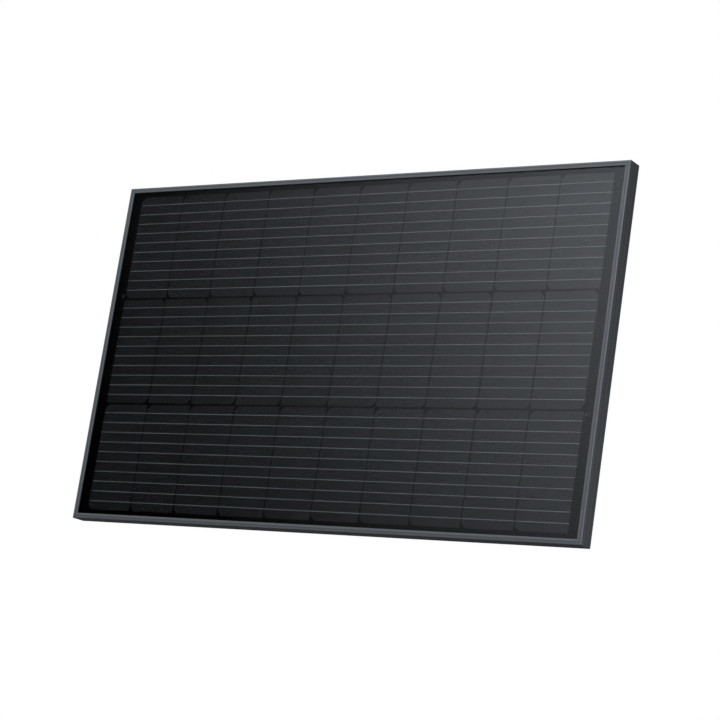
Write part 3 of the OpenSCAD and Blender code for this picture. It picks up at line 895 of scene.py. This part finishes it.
@dataclass
class CellStrings:
    """The three strings of ten half cells, with their wires, silver pads and bus ribbons."""

    rows: int = 3
    columns: int = 10
    column_pitch: float = 93.0
    cell_w: float = 91.0
    wires: int = 10
    wire_pitch: float = 17.0
    wire_w: float = 0.8
    wire_t: float = 0.2
    inset: float = 1.5
    tail: float = 10.0
    bend_points: int = 8
    pads: int = 8
    pad_pitch: float = 11.0
    pad: tuple[float, float, float] = (1.3, 0.02, 1.1)
    pad_bite: float = 0.001

    @property
    def gap(self) -> float:
        """The gap between two cells of a string, in mm."""
        return self.column_pitch - self.cell_w

    def row_inputs(self, name: str, count: int, pitch: float, axis: int,
                   middle: float = 0.0) -> dict[str, InputValue]:
        """Gives the named inputs of a centred row: its count, its first place and its step.

        Args:
            name: The row's name.
            count: How many things it has.
            pitch: How far apart they are, in mm.
            axis: The axis they run along: 0 for X, 2 for Z.
            middle: The row's middle along that axis, in metres.

        Returns:
            The values by the inputs' names.
        """
        start, step = Vector((0, 0, 0)), Vector((0, 0, 0))
        start[axis] = middle - (count - 1) * pitch * MM / 2
        step[axis] = pitch * MM
        return {f"{name} Count": count, f"{name} Start": start, f"{name} Step": step}

    def repeated(self, pattern: Pattern, part: Value, *rows: str) -> Value:
        """Repeats a part along one row after another.

        Args:
            pattern: The tree.
            part: The geometry to repeat.
            *rows: The names of the rows, each of which has a count, a start and a step among the inputs.

        Returns:
            The repeated geometry.
        """
        at = pattern.inputs
        for row in rows:
            line = pattern.add("GeometryNodeMeshLine", {
                "Count": at[f"{row} Count"], "Start Location": at[f"{row} Start"],
                "Offset": at[f"{row} Step"]})
            part = pattern.add("GeometryNodeInstanceOnPoints", {"Points": line, "Instance": part})
        return part

    def ribbon(self, pattern: Pattern, path: Value) -> Value:
        """Gives a path the wire's flat section."""
        section = pattern.add("GeometryNodeCurvePrimitiveQuadrilateral", {
            "Width": pattern.inputs["Wire Thickness"], "Height": pattern.inputs["Wire Width"]})
        upright = pattern.add("GeometryNodeSetCurveNormal", {"Curve": path}, mode="Z_UP")
        return pattern.add("GeometryNodeCurveToMesh", {
            "Curve": upright, "Profile Curve": section, "Fill Caps": True})

    def bent_path(self, pattern: Pattern) -> Value:
        """Draws a wire's path across a gap: along one cell's front, down, and along the next one's back.

        Args:
            pattern: The tree.

        Returns:
            The path, as a curve about the gap's middle.
        """
        at, last = pattern.inputs, self.bend_points - 1
        inner = (last - 2) / last
        line = pattern.add("GeometryNodeMeshLine", {
            "Count": self.bend_points, "Start Location": (-1, 0, 0), "Offset": (2 / last, 0, 0)})
        t = pattern.add("ShaderNodeSeparateXYZ", {0: pattern.add("GeometryNodeInputPosition")})
        bend = pattern.add("ShaderNodeMath", {0: t, 1: at["Bend"]}, operation="MULTIPLY")
        long = pattern.add("ShaderNodeMath", {0: t, 1: at["Reach"]}, operation="MULTIPLY")
        size = pattern.add("ShaderNodeMath", {0: t}, operation="ABSOLUTE")
        is_end = pattern.add("ShaderNodeMath", {0: size, 1: (1 + inner) / 2}, operation="GREATER_THAN")
        x = pattern.add("GeometryNodeSwitch", {"Switch": is_end, "False": bend, "True": long},
                        input_type="FLOAT")
        y = pattern.add("ShaderNodeMapRange", {
            "Value": t, "From Min": -inner, "From Max": inner, "To Min": at["Front Y"],
            "To Max": at["Back Y"]}, interpolation_type="SMOOTHSTEP")
        bent = pattern.add("GeometryNodeSetPosition", {
            "Geometry": line, "Position": pattern.add("ShaderNodeCombineXYZ", {0: x, 1: y})})
        return pattern.add("GeometryNodeMeshToCurve", {0: bent})

    def wire_row(self, row: int) -> None:
        """Makes all wires of one string: front of a cell, down through the gap, behind the next.

        Args:
            row: The string, counted from the top.
        """
        low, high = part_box(f"cell_wires_row{row}")
        way = -1.0 if row % 2 == 0 else 1.0
        half, last = self.wire_t / 2 * MM, self.bend_points - 1
        reach, tail = (self.cell_w - self.inset) * MM, self.tail * MM
        edge = (self.columns * self.column_pitch - self.gap) / 2 * MM
        front, back = low.y + half, high.y - half
        runs = ((edge - reach, edge, front, "Tin"), (edge, edge + tail, front, "Lacquer"),
                (-edge, reach - edge, back, "Tin"), (-edge - tail, -edge, back, "Lacquer"))
        ends = {}
        for number, (start, end, height, _) in enumerate(runs, 1):
            ends[f"Run {number} Start"] = Vector((way * start, height, 0))
            ends[f"Run {number} End"] = Vector((way * end, height, 0))
        pattern = Pattern(f"wires_of_string_{row}", {
            **self.row_inputs("Gap", self.columns - 1, self.column_pitch, 0),
            **self.row_inputs("Wire", self.wires, self.wire_pitch, 2, (low.z + high.z) / 2), **ends,
            "Wire Width": self.wire_w * MM, "Wire Thickness": self.wire_t * MM,
            "Front Y": front, "Back Y": back,
            "Bend": way * self.gap / 2 * MM * last / (last - 2), "Reach": way * (self.gap / 2 * MM + reach),
            "Tin": TINNED.material(), "Lacquer": LACQUERED.material()})
        bent = self.ribbon(pattern, self.bent_path(pattern))
        parts = [(self.repeated(pattern, bent, "Gap", "Wire"), "Tin")]
        for number, (_, _, _, material) in enumerate(runs, 1):
            straight = pattern.add("GeometryNodeCurvePrimitiveLine", {
                "Start": pattern.inputs[f"Run {number} Start"], "End": pattern.inputs[f"Run {number} End"]})
            parts.append((self.repeated(pattern, self.ribbon(pattern, straight), "Wire"), material))
        mesh = pattern.run(parts, f"wires_of_string_{row}")
        mesh_piece(f"string_{row}_wires", mesh, Body.PANEL, [f"cell_wires_row{row}"])

    def silver_pads(self, row: int) -> None:
        """Makes the fired silver pads that one string's wires are soldered to.

        Args:
            row: The string, counted from the top.
        """
        low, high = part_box(f"cell_r{row}_c01")
        size = Vector(self.pad) * MM
        pattern = Pattern(f"pads_of_string_{row}", {
            **self.row_inputs("Pad", self.pads, self.pad_pitch, 0),
            **self.row_inputs("Cell", self.columns, self.column_pitch, 0),
            **self.row_inputs("Wire", self.wires, self.wire_pitch, 2, (low.z + high.z) / 2),
            "Pad Size": size, "Pad Place": Vector((0, low.y - size.y / 2 + self.pad_bite * MM, 0)),
            "Silver": SILVER.material()})
        pad = pattern.add("GeometryNodeMeshCube", {"Size": pattern.inputs["Pad Size"]})
        raised = pattern.add("GeometryNodeTransform", {
            "Geometry": pad, "Translation": pattern.inputs["Pad Place"]})
        all_pads = self.repeated(pattern, raised, "Pad", "Cell", "Wire")
        mesh = pattern.run([(all_pads, "Silver")], f"pads_of_string_{row}")
        mesh_piece(f"string_{row}_pads", mesh, Body.PANEL)

    def build(self) -> None:
        """Makes the wires and pads, and dresses the cells and ribbons."""
        for row in range(1, self.rows + 1):
            for column in range(1, self.columns + 1):
                dress(f"cell_r{row}_c{column:02d}", SILICON)
            self.wire_row(row)
            self.silver_pads(row)
        for name in ("bus_ribbons_left", "bus_ribbons_right"):
            dress(name, LACQUERED)
        for name in ("lead_positive", "lead_negative"):
            dress(name, TINNED)


# ---- Back of the panel ----


@dataclass
class RatingLabel:
    """The blank rating plate on the backsheet: a silver sheet with a printed border and ruled rows."""

    rows: int = 7
    row_pitch: float = 6.6
    rule: tuple[float, float] = (88.0, 0.5)
    border: tuple[float, float] = (94.0, 54.0)
    border_line: float = 0.8
    ink_t: float = 0.02

    def build(self) -> None:
        """Dresses the sheet and prints its rules and border, with no lettering."""
        dress("rating_label", LABEL)
        low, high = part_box("rating_label")
        long, thick = self.rule
        wide, tall = self.border
        line, ink = self.border_line, self.ink_t
        middle = Vector(((low.x + high.x) / 2, high.y, (low.z + high.z) / 2))
        pattern = Pattern("label_print", {
            "Rows": self.rows, "Row Step": Vector((0, 0, self.row_pitch)) * MM,
            "First Row": middle - Vector((0, 0, (self.rows - 1) / 2 * self.row_pitch)) * MM,
            "Rule Size": Vector((long, ink, thick)) * MM,
            "Border Bar": Vector((wide + line, ink, line)) * MM,
            "Border Low": middle - Vector((0, 0, tall / 2)) * MM, "Border Rise": Vector((0, 0, tall)) * MM,
            "Border Post": Vector((line, ink, tall + line)) * MM,
            "Border Left": middle - Vector((wide / 2, 0, 0)) * MM,
            "Border Width": Vector((wide, 0, 0)) * MM, "Print": PRINT.material()})
        at = pattern.inputs
        parts = []
        for size, count, start, step in (
                ("Rule Size", at["Rows"], "First Row", "Row Step"),
                ("Border Bar", 2, "Border Low", "Border Rise"),
                ("Border Post", 2, "Border Left", "Border Width")):
            points = pattern.add("GeometryNodeMeshLine", {
                "Count": count, "Start Location": at[start], "Offset": at[step]})
            bar = pattern.add("GeometryNodeMeshCube", {"Size": at[size]})
            parts.append((pattern.add("GeometryNodeInstanceOnPoints", {
                "Points": points, "Instance": bar}), "Print"))
        mesh_piece("label_print", pattern.run(parts, "label_print"), Body.PANEL)


@dataclass
class JunctionBox:
    """The box behind the panel, its lid, seals and glands, with edges rounded as a mould leaves them."""

    edge_r: float = 0.35
    edge_angle: float = 50.0
    edge_steps: int = 2
    crease: float = 30.0
    ribs: int = 9
    rib_pitch: float = 6.0
    rib: tuple[float, float, float] = (2.4, 0.6, 46.0)
    rib_sides: int = 12
    rib_crease: float = 40.0
    ribs_at: float = -4.0

    def moulding(self, node: str, name: str, body: Body) -> None:
        """Makes a moulded piece from a CAD node by rounding its sharp edges.

        Args:
            node: The CAD node.
            name: The new piece's name.
            body: The body that it rides on.
        """
        piece = loose_object(name, copied(node))
        bevel = piece.modifiers.new("edges", "BEVEL")
        bevel.width, bevel.segments = self.edge_r * MM, self.edge_steps
        bevel.limit_method, bevel.angle_limit = "ANGLE", math.radians(self.edge_angle)
        bevel.use_clamp_overlap = True
        made = baked(piece, name)
        paint(made, NYLON)
        smooth(made, self.crease)
        mesh_piece(name, made, body, [node])

    def lid_ribs(self) -> None:
        """Makes the row of low moulded ribs, half sunk in the lid's face."""
        low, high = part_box("junction_box_lid")
        wide, proud, long = self.rib
        first_x = (low.x + high.x - (self.ribs - 1) * self.rib_pitch * MM) / 2
        middle_z = (low.z + high.z) / 2 + self.ribs_at * MM
        pattern = Pattern("lid_ribs", {
            "Ribs": self.ribs, "Rib Step": Vector((self.rib_pitch, 0, 0)) * MM,
            "First Rib": Vector((first_x, high.y, middle_z)),
            "Rib Size": Vector((wide, 2 * proud, long)) * MM, "Nylon": NYLON.material()})
        at = pattern.inputs
        rod = pattern.add("GeometryNodeMeshCylinder", {
            "Vertices": self.rib_sides, "Radius": 0.5, "Depth": 1.0}).outputs["Mesh"]
        rib = pattern.add("GeometryNodeTransform", {"Geometry": rod, "Scale": at["Rib Size"]})
        row = pattern.add("GeometryNodeMeshLine", {
            "Count": at["Ribs"], "Offset": at["Rib Step"], "Start Location": at["First Rib"]})
        ribs = pattern.add("GeometryNodeInstanceOnPoints", {"Points": row, "Instance": rib})
        mesh = pattern.run([(ribs, "Nylon")], "lid_ribs")
        smooth(mesh, self.rib_crease)
        mesh_piece("lid_ribs", mesh, Body.LID)

    def build(self) -> None:
        """Makes the moulded pieces and dresses the rest."""
        self.moulding("junction_box_base", "box_base", Body.PANEL)
        self.moulding("junction_box_lid", "box_lid_cover", Body.LID)
        self.moulding("gland_nuts", "gland_cap_nuts", Body.PANEL)
        self.lid_ribs()
        dress("junction_box_pad", SEALANT)
        dress("terminals", BRASS)
        dress("bypass_diode", EPOXY)
        for name in ("junction_box_seal", "gland_seals"):
            dress(name, GASKET)


# ---- Studio ----


@dataclass(frozen=True)
class Lamp:
    """One large soft lamp in the studio's dome, brightest at its middle."""

    azimuth: float
    elevation: float
    half_angle: float
    power: float
    strength: float

    def glow(self, tree: bpy.types.NodeTree, way: bpy.types.NodeSocket) -> bpy.types.NodeSocket:
        """Works out the lamp's light.

        Args:
            tree: The world's node tree.
            way: The direction looked in.

        Returns:
            The socket that gives the light from that direction.
        """
        azimuth, elevation = math.radians(self.azimuth), math.radians(self.elevation)
        middle = (math.sin(azimuth) * math.cos(elevation), -math.cos(azimuth) * math.cos(elevation),
                  math.sin(elevation))
        towards = add_node(tree, "ShaderNodeVectorMath", {0: way, 1: middle}, operation="DOT_PRODUCT")
        inside = add_node(tree, "ShaderNodeMapRange", {
            "Value": towards.outputs["Value"], "From Min": math.cos(math.radians(self.half_angle)),
            "From Max": 1.0})
        lobe = add_node(tree, "ShaderNodeMath", {0: inside, 1: self.power}, operation="POWER")
        light = add_node(tree, "ShaderNodeMath", {0: lobe, 1: self.strength}, operation="MULTIPLY")
        return light.outputs[0]


@dataclass
class Studio:
    """Camera, pale floor and soft light."""

    camera_at: tuple[float, float, float] = (2.0557, -2.7916, -0.7581)
    right: tuple[float, float, float] = (0.81923, 0.55394, 0.14834)
    up: tuple[float, float, float] = (0.0002, -0.2589, 0.9659)
    lens: float = 110.69
    sensor: float = 36.0
    floor_z: float = -1.2
    floor_size: float = 40.0
    lamps: tuple[Lamp, ...] = (
        Lamp(azimuth=-19.2, elevation=22.3, half_angle=26.2, power=2.75, strength=1.52),
        Lamp(azimuth=-35.0, elevation=75.0, half_angle=48.0, power=1.0, strength=2.6),
        Lamp(azimuth=42.0, elevation=15.0, half_angle=52.0, power=1.0, strength=1.45),
        Lamp(azimuth=-97.0, elevation=15.0, half_angle=42.0, power=1.0, strength=1.6),
        Lamp(azimuth=150.0, elevation=-2.0, half_angle=28.0, power=1.5, strength=0.7),
        Lamp(azimuth=215.0, elevation=50.0, half_angle=36.0, power=1.0, strength=7.0))
    lamp_colour: str = "#f0f7ff"

    def build(self) -> None:
        """Sets up the view, the floor and the light."""
        scene = bpy.context.scene
        scene.view_settings.view_transform = "Standard"
        lens = bpy.data.cameras.new("camera")
        lens.lens, lens.sensor_width = self.lens, self.sensor
        camera = bpy.data.objects.new("camera", lens)
        right, up = Vector(self.right).normalized(), Vector(self.up)
        back = right.cross(up).normalized()
        turn = Matrix((right, back.cross(right), back)).transposed()
        camera.matrix_world = Matrix.Translation(self.camera_at) @ turn.to_4x4()
        scene.collection.objects.link(camera)
        scene.camera = camera
        self.floor()
        self.light()

    def floor(self) -> None:
        """Lays the pale floor well below the panel."""
        half = self.floor_size / 2
        mesh = bpy.data.meshes.new("floor")
        square = ((-half, -half), (half, -half), (half, half), (-half, half))
        corners = [(x, y, self.floor_z) for x, y in square]
        mesh.from_pydata(corners, [], [(0, 1, 2, 3)])
        mesh.materials.append(FLOOR_PAINT.material())
        floor = bpy.data.objects.new("floor", mesh)
        bpy.context.scene.collection.objects.link(floor)

    def light(self) -> None:
        """Lights the studio by a dome that is white to look at and holds the soft lamps."""
        world = bpy.data.worlds.new("studio")
        world.use_nodes = True
        tree = world.node_tree
        tree.nodes.clear()
        way = add_node(tree, "ShaderNodeTexCoord").outputs["Generated"]
        total: Value = 0.0
        for lamp in self.lamps:
            total = add_node(tree, "ShaderNodeMath", {0: total, 1: lamp.glow(tree, way)}, operation="ADD")
        seen = add_node(tree, "ShaderNodeLightPath").outputs["Is Camera Ray"]
        lit = add_node(tree, "ShaderNodeBackground", {"Strength": total})
        white = add_node(tree, "ShaderNodeBackground", {"Strength": 1.0})
        lit.inputs["Color"].default_value = linear(self.lamp_colour)
        white.inputs["Color"].default_value = (1, 1, 1, 1)
        both = add_node(tree, "ShaderNodeMixShader", {0: seen, 1: lit, 2: white})
        add_node(tree, "ShaderNodeOutputWorld", {"Surface": both})
        bpy.context.scene.world = world


def main() -> None:
    """Builds the studio and the panel's sub-assemblies."""
    logging.basicConfig(level=logging.INFO, format="%(name)s: %(message)s")
    Studio().build()
    FrameRails().build()
    Laminate().build()
    CellStrings().build()
    RatingLabel().build()
    JunctionBox().build()


if __name__ == "__main__":
    main()
